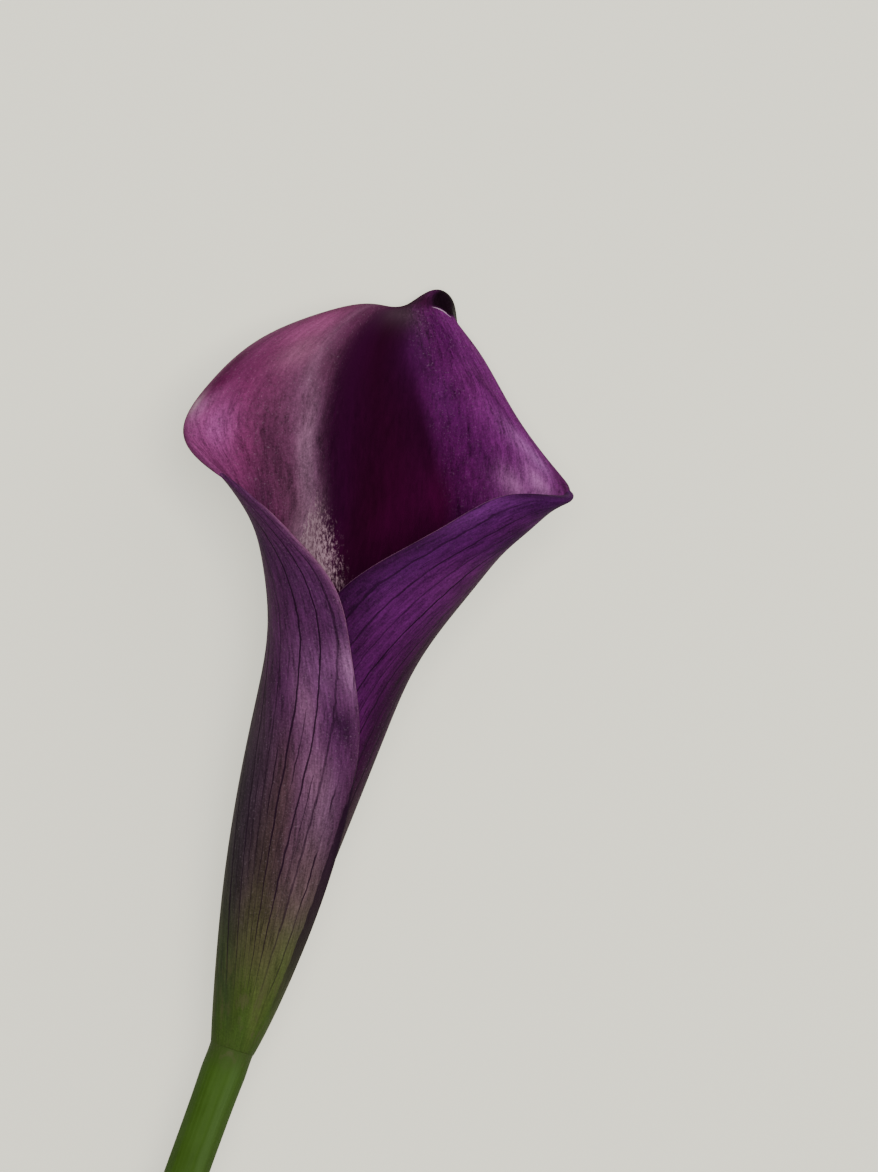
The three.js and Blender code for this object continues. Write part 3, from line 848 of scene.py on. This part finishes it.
@dataclass
class Spathe:
    """The one coloured leaf of the flower, rolled into a tube and opened into a wide limb.

    It is drawn through guide rows of 13 points from its left margin to its right one. Those of the tube are
    given as rolled takes them, those of the limb by the x, y and d of their points, and those of the tail,
    which curls down behind the tip and lies flat on the surface, by their two ends.
    """

    axis: Axis
    thickness: float = 0.75
    margin_thickness: float = 0.6
    foot_thickness: float = 0.12
    foot_overlap: float = 0.9
    throat_place: tuple[float, float] = (6, 10)
    columns: int = 13
    cells_across: int = 78
    cells_along: int = 130
    tube: tuple[Row, ...] = (
        (0, 0, 3.75, 3.75, -95, 350, 0.85, 0, 0),
        (9, -0.45, 5.8, 5.7, -96, 410, 1.1, 0, 0),
        (24, -1.3, 8.3, 8.1, -82, 444, 1.2, 0, 0),
        (40, -1.85, 10.15, 10, -60, 436, 1.35, 0, 0),
        (54, -1.95, 11.4, 11.2, -38, 418, 1.5, 1, 0.3),
        (65, -2.05, 12.5, 12.2, -7, 396, 1.9, 3, 0.3),
    )
    limb: tuple[tuple[Row, ...], ...] = (
        # where the two margins cross and the tube opens
        ((-5, -12.7, -18.7, -19.7, -14.8, -9.5, 0, 8.1, 13.1, 14.6, 11.1, 2.5, -6.3),
         (75.2, 75.3, 76, 77.5, 78.5, 79.2, 80, 80, 79.5, 79, 78, 76.5, 75),
         (13.8, 11, 4.5, -4, -9, -14.5, -16, -13, -6, 2, 9.3, 12.8, 11.2)),
        ((-13.6, -20.1, -24.8, -21.8, -13.5, -9.5, -1, 7.5, 14.2, 17.6, 15.4, 9, 1.8),
         (79.8, 80.8, 82.9, 85.5, 86.5, 88, 89.3, 89, 88, 86.6, 85.6, 84.5, 83.6),
         (11, 7, 0.5, -4.5, -4, -14.5, -18.5, -15, -8, 0, 7.5, 12, 13.5)),
        ((-21.1, -27.9, -32.2, -26, -16.5, -12.5, -3.5, 5.5, 13, 19, 21, 15.2, 8.2),
         (84.2, 85.8, 88.8, 92.5, 94, 95.5, 96.8, 96, 95, 93.2, 91.4, 91.2, 90.1),
         (8, 4.5, -1, -3.5, -1.5, -14, -21, -18, -10.5, -3, 3.5, 8.8, 11.5)),
        ((-28.1, -33.9, -36, -28, -17.5, -14, -5, 4, 11.5, 18.4, 23.9, 21.6, 14.2),
         (86.1, 88.1, 92.2, 98.5, 100.5, 102, 103.5, 102.8, 101.5, 98.5, 96, 97.3, 97.6),
         (4, 2.5, 0, -2.5, -0.5, -14, -22.5, -20, -13, -6.5, -0.5, 5, 8)),
        # the widest row, out to the left lobe and the right corner
        ((-34.8, -39.4, -35.7, -28, -18.5, -14.8, -6, 2.5, 10, 16.1, 23, 29.6, 21.5),
         (88.2, 90.2, 97, 104.5, 106.6, 108.3, 109.5, 108.3, 106.3, 103.8, 100.6, 99.6, 98.9),
         (-1.5, 0.5, -1.5, -5, -3.5, -15.5, -24.5, -22, -15.5, -9.5, -4, -0.5, 4)),
        ((-33.5, -36.9, -32.7, -25.9, -18.3, -14.5, -7, 0.8, 7.8, 13.4, 18.2, 23.7, 27.2),
         (94.2, 98.2, 103.6, 109, 111.5, 113.3, 114.5, 113.5, 111.2, 108.2, 104.9, 101.8, 99.5),
         (-9, -4.5, -5.5, -9, -9, -18.5, -26.5, -24, -18.5, -13, -8, -4.5, -3.5)),
        # the rolled back upper edge
        ((-27.5, -32.6, -27.6, -21.2, -15.9, -13.1, -7.5, -2, 3.5, 8.1, 11.8, 14.6, 15),
         (103.6, 108.3, 111.5, 114.8, 117, 118.1, 119, 118.3, 115.7, 112.8, 110, 107.8, 106.1),
         (-23, -14.5, -12.5, -15, -16.5, -22, -27, -26, -21.5, -17.3, -14.8, -14.3, -16.5)),
        ((-19.5, -21.8, -19.3, -16.2, -13.6, -11.5, -8.7, -5.2, -1.7, 1.9, 5.2, 6, 6),
         (110.6, 114.9, 118.1, 120.4, 120.6, 120.2, 120.8, 121.8, 120.5, 118.9, 117.9, 114.9, 113.6),
         (-34.6, -26, -20, -21, -23, -26, -28, -27.5, -25, -22.5, -20.8, -20.8, -23)),
        ((-12, -12.5, -11.6, -10.8, -9.8, -8.9, -7.8, -6.2, -4.2, -2.8, -1.6, -0.5, -0.2),
         (114, 117.3, 118.8, 119.2, 119.4, 120.4, 122.2, 123.9, 123.3, 122, 121.2, 120.2, 119.2),
         (-35.4, -31.5, -28.5, -27.5, -28, -29, -29.8, -30, -29, -27.3, -25.6, -26, -27.7)),
        # the hook of the tip
        ((-7, -7.3, -7.3, -7.2, -6.9, -6.6, -5.9, -4.9, -3.5, -2.4, -2, -1.5, -1.2),
         (115.6, 118.9, 121.2, 122.1, 123.2, 124.7, 125.6, 126, 125.7, 124.7, 123.2, 121.9, 120.9),
         (-35, -34.4, -33.4, -32.8, -32.2, -31, -30, -29, -28, -27.5, -28, -29.2, -30.6)),
        ((-3.8, -3.2, -2.7, -2.3, -1.9, -1.8, -1.8, -1.7, -1.5, -1.2, -0.9, -0.6, -0.4),
         (117.6, 119.4, 120.9, 122, 122.7, 123.4, 123.7, 123.7, 123.2, 122.4, 121.6, 120.9, 120.3),
         (-34.6, -34.6, -34.4, -34, -33.4, -32.8, -32.2, -31.8, -31.6, -31.8, -32, -32.2, -32.5)),
    )
    tail: tuple[tuple[Point, Point], ...] = (
        ((-2.2, 115.4, -34.6), (1, 119, -32.9)),
        ((0.6, 113.4, -34.6), (3.2, 116.2, -34.2)),
        ((3.2, 111.8, -34.6), (4.9, 113.4, -34.4)),
        ((5.7, 110.2, -34.4), (6.3, 110.8, -34.4)),
    )
    finish: SpatheFinish = SpatheFinish()

    def rolled(
        self, y: float, x: float, radius_x: float, radius_z: float, start: float, stop: float, gap: float,
        back_drop: float, margin_lift: float,
    ) -> tuple[Point, ...]:
        """A rolled guide row: angle 0 faces up and grows to the left, and the left margin is outside.

        Args:
            y: the row's place along the tube.
            x: the tube's middle.
            radius_x: its outer radius sideways.
            radius_z: its outer radius upwards.
            start: the left margin's angle, in degrees.
            stop: the right margin's angle, in degrees.
            gap: how much smaller the roll gets in one turn.
            back_drop: how far the underside slides along the tube.
            margin_lift: how far the left margin stands up.

        Returns:
            The row's points.
        """
        step = math.radians(stop - start) / (self.columns - 1)
        stand_out = 3 / (2 + math.cos(step))
        points = []
        for column in range(self.columns):
            angle = math.radians(start) + step * column
            swell = 1 if column in (0, self.columns - 1) else stand_out
            inward = gap * step * column / (2 * math.pi)
            raised = margin_lift if column == 0 else 0
            points.append((
                x - ((radius_x - inward) * swell + raised) * math.sin(angle),
                y + back_drop * (1 - math.cos(angle)) / 2,
                ((radius_z - inward) * swell + raised) * math.cos(angle),
            ))
        return tuple(points)

    def guide_rows(self) -> Array:
        """The guide rows from the foot to the tail, each from the left margin to the right one.

        Returns:
            The points' x, y and d, by row and column.
        """
        return np.array((
            *(self.rolled(*row) for row in self.tube),
            *(np.transpose(row) for row in self.limb),
            *(np.linspace(left, right, self.columns) for left, right in self.tail),
        ))

    def surface(self, across: Array, along: Array) -> Array:
        """Points of the middle surface, drawn through the guide rows as a cubic B-spline sheet.

        Args:
            across: places from 0 at the left margin to the last column at the right one.
            along: places from 0 at the foot to the last row at the tail.

        Returns:
            Rows of x, y and d in millimetres.
        """
        net = self.guide_rows()
        net = np.concatenate([2 * net[:1] - net[1:2], net, 2 * net[-1:] - net[-2:-1]])
        net = np.concatenate([2 * net[:, :1] - net[:, 1:2], net, 2 * net[:, -1:] - net[:, -2:-1]], axis=1)
        column = np.minimum(across.astype(int), net.shape[1] - 4)
        row = np.minimum(along.astype(int), net.shape[0] - 4)
        total = np.zeros((len(across), 3))
        for i, weight_across in enumerate(self.weights(across - column)):
            for j, weight_along in enumerate(self.weights(along - row)):
                total += (weight_across * weight_along)[:, None] * net[row + j, column + i]
        return total

    @staticmethod
    def weights(t: Array) -> tuple[Array, ...]:
        """The four weights of a uniform cubic B-spline between two guide points.

        Args:
            t: shares of the way from the second point to the third.

        Returns:
            The weights of the points, from the first to the fourth.
        """
        return (
            (1 - t) ** 3 / 6,
            (3 * t**3 - 6 * t**2 + 4) / 6,
            (-3 * t**3 + 3 * t**2 + 3 * t + 1) / 6,
            t**3 / 6,
        )

    def build(self) -> Piece:
        """Models the sheet from a grid: drawn to its surface, thickened and smoothed.

        Returns:
            The piece.
        """
        deselect()
        bpy.ops.mesh.primitive_grid_add(
            x_subdivisions=self.cells_across, y_subdivisions=self.cells_along, size=1,
        )
        piece = take_new("spathe_petal")
        flat = read_points(piece)
        last_row = len(self.guide_rows()) - 1
        across = np.clip(flat[:, 0] + 0.5, 0, 1) * (self.columns - 1)
        along = np.clip(flat[:, 1] + 0.5, 0, 1) * last_row
        middle = self.surface(across, along)
        foot = 1 - smooth(along, 0, 0.3)
        middle[:, 1] -= self.foot_overlap * foot
        write_points(piece, self.axis.place(middle, self.thickness / 2))
        add_numbers(piece, across=across, along=along)
        group = piece.vertex_groups.new(name="thickness")
        edge = smooth(np.minimum(across, self.columns - 1 - across), 0, 0.35)
        thick = self.margin_thickness + (self.thickness - self.margin_thickness) * edge
        thick += (self.foot_thickness - thick) * foot
        for index, weight in enumerate(thick / self.thickness):
            group.add([index], float(weight), "REPLACE")
        apply(
            piece, "SOLIDIFY", thickness=self.thickness * METRES, offset=0, use_quality_normals=True,
            vertex_group=group.name,
        )
        points = read_points(piece)
        points[:, 2] = np.maximum(points[:, 2], 0)
        write_points(piece, points)
        add_numbers(piece, inner=self.inner_side(piece))
        apply(piece, "SUBSURF", levels=1, render_levels=1)
        piece.vertex_groups.clear()
        return piece

    def inner_side(self, piece: Piece) -> Array:
        """1 for the vertices of the inner face, the upper one in the open throat, and 0 for the others.

        Args:
            piece: the thickened sheet: the vertices of one face, and then those of the other in like order.

        Returns:
            One number for each vertex.
        """
        across, along = read_numbers(piece, "across", "along")
        height = read_points(piece)[:, 2]
        count = len(height) // 2
        column, row = self.throat_place
        in_throat = np.hypot(across - column, along - row)[:count].argmin()
        first = float(height[in_throat] > height[in_throat + count])
        return np.repeat((first, 1 - first), count)

    def dress(self, piece: Piece) -> None:
        """Paints the colour, the flower's own tones with painted sheen, highlights and shade, and gives the
        sheet its skin.

        Args:
            piece: the sheet.
        """
        finish = self.finish
        across, along, inner = read_numbers(piece, "across", "along", "inner")
        y = read_points(piece)[:, 1] / METRES - self.axis.origin()[1]
        # the flower's own tones with painted sheen, highlights and shade, stored on each vertex
        add_colours(piece, "tone_and_painted_light", finish.tone_and_painted_light(across, along, inner, y))
        papillae = finish.papillae(across, along, inner)
        add_numbers(piece, papillae=papillae, vein_count=finish.vein_count(across, along))
        dress(piece, finish.material(), Slot.SPATHE)


@dataclass(frozen=True)
class StemFinish:
    """The waxy green skin of the stalk, with long faint ribs and a painted highlight down its right side."""

    green: Colour = (0.022, 0.05, 0.005)
    light: Colour = (0.033, 0.07, 0.01)
    side_highlight: Colour = (0.048, 0.088, 0.026)
    crown: Colour = (0.027, 0.046, 0.01)
    side_highlight_at: float = 0.5
    mottle: Colour = (0.052, 0.05, 0.024)
    cut: Colour = (0.32, 0.40, 0.16)
    roughness: float = 0.62
    refraction: float = 1.25
    specular: float = 0.2
    ribs: float = 22.0
    rib_depth: float = 0.0002
    mottle_scale: float = 260.0
    grain_scale: float = 3000.0
    grain_depth: float = 0.00004
    pith_scale: float = 2200.0

    def material(self) -> bpy.types.Material:
        """Builds the material.

        Returns:
            The material.
        """
        nodes = Nodes("stem_skin")
        turn, reach = nodes.number("turn"), nodes.number("reach")
        cut = nodes.number("cut")
        where = nodes.place()
        fibres = nodes.noise((turn * self.ribs, reach * 0.06), 1, 3)
        mottle = nodes.noise(where, self.mottle_scale, 3)
        grain = nodes.noise(where, self.grain_scale)
        skin = nodes.blend((fibres * 0.7 + mottle * 0.5).smooth(0.35, 0.95), self.green, self.light)
        # painted highlight: a pale band down the stalk's right side
        aside = abs(nodes.number("side") - self.side_highlight_at) + (mottle - 0.5) * 0.2
        skin = nodes.blend(0.5 * (1 - aside.smooth(0.05, 0.3)), skin, self.side_highlight)
        skin = nodes.blend(reach.smooth(-5.5, -0.5) * 0.85, skin, self.crown)
        blotches = nodes.noise((turn * 9, reach * 0.5, 7), 1.3, 4, 0.75).smooth(0.5, 0.66)
        skin = nodes.blend(blotches * reach.smooth(-5, -1) * 0.5, skin, self.mottle)
        pith = nodes.blend(nodes.noise(where, self.pith_scale).smooth(0.4, 0.7), self.cut, self.light)
        nodes.set(
            Base_Color=nodes.blend(cut, skin, pith),
            Roughness=self.roughness + 0.2 * (grain - 0.5) + 0.25 * cut,
            Normal=nodes.bump(grain, self.grain_depth, 0.6, nodes.bump(fibres, self.rib_depth, 0.5)),
            IOR=self.refraction,
            Specular_IOR_Level=self.specular,
        )
        return nodes.material


@dataclass
class Stem:
    """The round stalk, bowed to the left, with its cut end and its slim neck inside the flower."""

    axis: Axis
    neck_radius: float = 1.45
    neck_foot_radius: float = 2.4
    neck_top_radius: float = 2.2
    neck_waist: float = 3.5
    neck_top: float = 7.0
    edge: float = 0.25
    crown_taper: float = 0.26
    crown_reach: float = 5.0
    pith_hollow: float = 0.25
    pith_rise: float = 0.8
    pith_reach: float = 0.6
    cut_shares: Row = (0, 0.03, 0.045, 0.06)
    neck_shares: Row = (0.9, 0.915, 0.93, 0.945, 0.97, 0.985, 1)
    ribs: int = 9
    rib_depth: float = 0.06
    ribs_fade: tuple[float, float] = (-12, -2)
    segments: int = 72
    rings: int = 150
    crowding: float = 1.5
    finish: StemFinish = StemFinish()

    def outline(self, share: Array) -> tuple[Array, Array]:
        """Places along the stalk and its radii there.

        Args:
            share: shares of the way from the middle of the cut end to the middle of the neck's top.

        Returns:
            The places y and the radii, in millimetres.
        """
        end, top, edge = -self.axis.stem_length, self.axis.stem_top, self.edge
        foot, neck = self.cut_shares[-1], self.neck_shares[0]
        climb = np.clip((share - foot) / (neck - foot), 0, 1)
        y = top - edge - (top - end - 2 * edge) * (1 - climb) ** self.crowding
        radius = self.axis.stalk(y)[1] - self.crown_taper * smooth(y, top - self.crown_reach, top - edge)
        base, crown = (float(self.axis.stalk(np.array(place))[1]) for place in (end, top))
        crown -= self.crown_taper
        cut_y = (self.pith_hollow, self.pith_rise * self.pith_hollow, 0, edge)
        cut_radii = (0, self.pith_reach * base, base - edge, base)
        neck_y = (top - edge, top, top, top, self.neck_waist, self.neck_top, self.neck_top)
        neck_radii = (crown, crown - edge, self.neck_foot_radius, self.neck_radius, self.neck_radius)
        neck_radii += (self.neck_top_radius, 0)
        is_cut, is_neck = share < foot, share > neck
        y = np.where(is_cut, end + np.interp(share, self.cut_shares, cut_y), y)
        radius = np.where(is_cut, np.interp(share, self.cut_shares, cut_radii), radius)
        y = np.where(is_neck, np.interp(share, self.neck_shares, neck_y), y)
        radius = np.where(is_neck, np.interp(share, self.neck_shares, neck_radii), radius)
        return y, radius

    def build(self) -> Piece:
        """Models the stalk from a ball whose rings are drawn out along its outline.

        Returns:
            The piece.
        """
        piece, angle, share = turned("stem_stalk", self.segments, self.rings)
        y, radius = self.outline(share)
        ribbed = self.rib_depth * (np.cos(self.ribs * angle) - 1) / 2 * smooth(share, 0.03, 0.06)
        radius = radius + ribbed * (1 - smooth(y, *self.ribs_fade))
        x = self.axis.stalk(y)[0]
        points = np.stack([x + radius * np.sin(angle), y, radius * np.cos(angle)], axis=1)
        write_points(piece, self.axis.place(points))
        cut = 1 - smooth(share, 0.04, 0.055)
        add_numbers(piece, turn=np.cos(angle), side=np.sin(angle), reach=y, cut=cut)
        return piece

    def dress(self, piece: Piece) -> None:
        """Gives the stalk its skin."""
        recalculate(piece)
        dress(piece, self.finish.material(), Slot.STEM)


@dataclass(frozen=True)
class SpadixFinish:
    """The pollen-dusted florets of the spadix."""

    floret: Colour = (0.42, 0.20, 0.035)
    crease: Colour = (0.10, 0.03, 0.04)
    roughness: float = 0.7
    grain_scale: float = 4200.0
    grain_depth: float = 0.00008

    def material(self) -> bpy.types.Material:
        """Builds the material.

        Returns:
            The material.
        """
        nodes = Nodes("spadix_florets")
        where = nodes.place()
        grain = nodes.noise(where, self.grain_scale)
        # paler on the florets' tops, darker down in the creases between them
        floret_top = (nodes.number("height") + 0.3 * (grain - 0.5)).smooth(0.1, 0.8)
        nodes.set(
            Base_Color=nodes.blend(floret_top, self.crease, self.floret),
            Roughness=self.roughness + 0.2 * (grain - 0.5),
            Normal=nodes.bump(grain, self.grain_depth, 0.8),
        )
        return nodes.material


@dataclass
class Spadix:
    """The finger of tiny florets that stands in the tube."""

    axis: Axis
    foot: float = 7.3
    length: float = 46.0
    radius: float = 3.3
    foot_radius: float = 2.3
    drift: float = -2.4
    floret_pitch: float = 1.5
    floret_radius: float = 0.9
    floret_height: float = 0.32
    foot_share: float = 0.03
    florets_round: int = 13
    segments: int = 208
    rings: int = 320
    finish: SpadixFinish = SpadixFinish()

    def florets(self, angle: Array, y: Array) -> Array:
        """How far each vertex stands out on its floret, from 0 in the creases to 1 on top.

        Args:
            angle: each vertex's angle round the finger.
            y: its place along the finger.

        Returns:
            One number for each vertex.
        """
        row_pitch = self.floret_pitch * math.sqrt(3) / 2
        row = y / row_pitch
        turn = angle / (2 * math.pi) * self.florets_round
        best = np.zeros_like(row)
        for below in (0, 1):
            level = np.floor(row) + below
            place = turn - 0.5 * np.mod(level, 2)
            aside = place - np.round(place)
            away = np.hypot(aside * self.floret_pitch, (row - level) * row_pitch) / self.floret_radius
            best = np.maximum(best, np.sqrt(np.clip(1 - away**2, 0, 1)))
        return best

    def build(self) -> Piece:
        """Models the finger from a ball whose rings are drawn out, with each floret raised.

        Returns:
            The piece.
        """
        piece, angle, share = turned("spadix_finger", self.segments, self.rings)
        reach = np.clip((share - self.foot_share) / (1 - self.foot_share), 0, 1)
        swell = self.foot_radius + (self.radius - self.foot_radius) * np.minimum(1, reach * 3)
        body = swell * np.sqrt(np.clip(1 - reach**6, 0, 1)) * np.minimum(share / self.foot_share, 1)
        y = self.foot + self.length * reach
        ends = smooth(share, self.foot_share, 0.05) * smooth(1 - reach, 0, 0.03)
        raised = self.florets(angle, y) * ends
        radius = body + self.floret_height * raised
        x = self.drift * reach
        points = np.stack([x + radius * np.sin(angle), y, radius * np.cos(angle)], axis=1)
        write_points(piece, self.axis.place(points))
        add_numbers(piece, height=raised)
        return piece

    def dress(self, piece: Piece) -> None:
        """Gives the finger its florets' finish."""
        recalculate(piece)
        dress(piece, self.finish.material(), Slot.SPADIX)


@dataclass
class Studio:
    """The pale surface, the soft lights and the camera that looks straight down."""

    axis: Axis
    lean: float = 17.5
    middle_x: float = 9.5
    middle_y: float = 80.0
    subject_height: float = 30.0
    view_height: float = 187.5
    distance: float = 6000.0
    sensor: float = 36.0
    sight: float = 20.0
    floor_size: float = 6.0
    floor_colour: Colour = (0.36, 0.35, 0.29)
    floor_roughness: float = 0.9
    floor_specular: float = 0.1
    # painted light: the floor glows a little, which lightens the shadows that fall on it
    floor_glow: Colour = (1, 0.985, 0.86)
    floor_glow_strength: float = 0.78
    ambient: Colour = (1, 0.98, 0.92)
    ambient_strength: float = 0.24
    warmth: Colour = (1, 0.975, 0.91)

    def floor(self) -> None:
        """Lays the pale surface, which glows a little to lighten the shadows on it."""
        deselect()
        bpy.ops.mesh.primitive_plane_add(size=self.floor_size)
        plane = take_new("floor")
        nodes = Nodes("floor_paper")
        nodes.set(
            Base_Color=self.floor_colour,
            Roughness=self.floor_roughness,
            Specular_IOR_Level=self.floor_specular,
            Emission_Color=self.floor_glow,
            Emission_Strength=self.floor_glow_strength,
        )
        plane.data.materials.append(nodes.material)

    def aim(self) -> Vector:
        """The point that the camera and the lights look at, in metres."""
        x, y, _ = self.axis.origin()
        return Vector((x + self.middle_x, y + self.middle_y, self.subject_height)) * METRES

    def picture_axes(self) -> tuple[Vector, Vector]:
        """The directions that are right and up in the picture."""
        lean = math.radians(self.lean)
        return Vector((math.cos(lean), math.sin(lean), 0)), Vector((-math.sin(lean), math.cos(lean), 0))

    def camera(self) -> None:
        """Places the camera straight over the flower, turned so that the stem leans as in the picture."""
        right, up = self.picture_axes()
        data = bpy.data.cameras.new("camera")
        data.sensor_width = self.sensor
        data.lens = self.sensor * self.distance / self.view_height
        data.clip_end = self.sight
        camera = bpy.data.objects.new("camera", data)
        bpy.context.scene.collection.objects.link(camera)
        turn = Matrix((right, up, Vector((0, 0, 1)))).transposed().to_4x4()
        place = self.aim() + Vector((0, 0, self.distance * METRES))
        camera.matrix_world = Matrix.Translation(place) @ turn
        bpy.context.scene.camera = camera

    def light(self, name: str, aside: float, up: float, over: float, size: float, power: float) -> None:
        """Adds a soft square light.

        Args:
            name: the light's name.
            aside: metres to the picture's right.
            up: metres towards the picture's top.
            over: metres over the flower.
            size: the square's side, in metres.
            power: watts.
        """
        right, top = self.picture_axes()
        data = bpy.data.lights.new(name, "AREA")
        data.size = size
        data.energy = power
        data.color = self.warmth
        made = bpy.data.objects.new(name, data)
        bpy.context.scene.collection.objects.link(made)
        offset = right * aside + top * up + Vector((0, 0, over))
        made.location = self.aim() + offset
        made.rotation_euler = (-offset).to_track_quat("-Z", "Y").to_euler()

    def sky(self) -> None:
        """Fills the shadows evenly from all round."""
        world = bpy.data.worlds.new("studio")
        world.use_nodes = True
        background = world.node_tree.nodes["Background"]
        background.inputs["Color"].default_value = (*self.ambient, 1)
        background.inputs["Strength"].default_value = self.ambient_strength
        bpy.context.scene.world = world

    def build(self) -> None:
        """Sets up the whole studio."""
        self.floor()
        self.camera()
        self.light("window", aside=0.6, up=0.62, over=0.85, size=1.1, power=9)
        self.light("overhead", aside=0.12, up=0.1, over=1.6, size=0.6, power=38)
        self.sky()


def write_sizes() -> None:
    """Brings the scene up to date."""
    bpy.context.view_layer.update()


def main() -> None:
    """Builds the flower's pieces in order, from the stem outwards, and then the studio."""
    logging.basicConfig(level=logging.INFO, format="%(name)s: %(message)s")
    axis = Axis()
    for part in (Stem(axis), Spadix(axis), Spathe(axis)):
        piece = part.build()
        part.dress(piece)
        LOG.info("%s: %d faces", piece.name, len(piece.data.polygons))
    Studio(axis).build()
    write_sizes()


if __name__ == "__main__":
    main()
